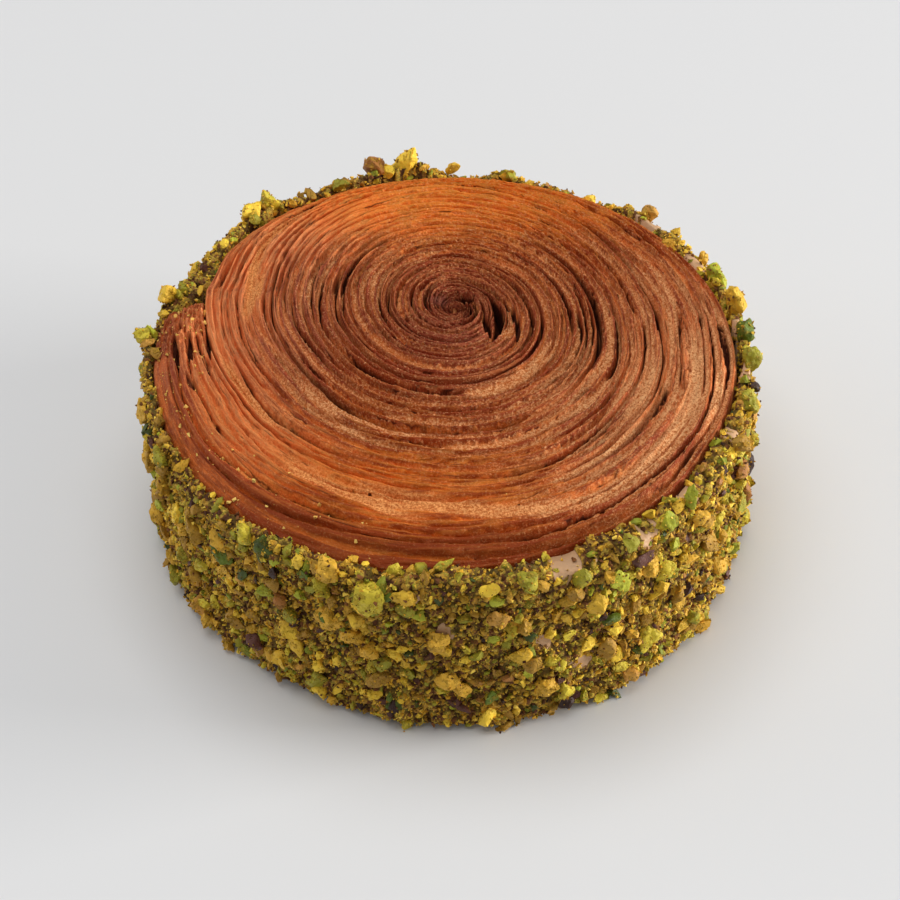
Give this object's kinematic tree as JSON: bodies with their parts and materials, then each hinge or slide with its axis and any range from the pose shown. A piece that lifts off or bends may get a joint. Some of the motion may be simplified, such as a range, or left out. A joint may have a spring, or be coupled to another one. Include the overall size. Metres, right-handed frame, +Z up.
{
  "type": "new york roll",
  "caption": "Round laminated spiral pastry roll with a flat layered top and a side coated in glaze and chopped pistachio.",
  "frame": {"origin": "centre of the flat base", "axes": "+Z up, out of the layered top; the side that faces the viewer is toward -Y, and the strip's loose end is at the left, toward -X"},
  "size_m": [0.107, 0.1091, 0.0405],
  "materials": {
    "baked_crust": "matte baked crust, slightly glossy on the layer edges",
    "pistachio": "matte chopped nuts and crumb in a satin glaze"
  },
  "bodies": {
    "root": {"pastry_coil": "baked_crust", "pistachio_coat": "pistachio"}
  },
  "joints": []
}
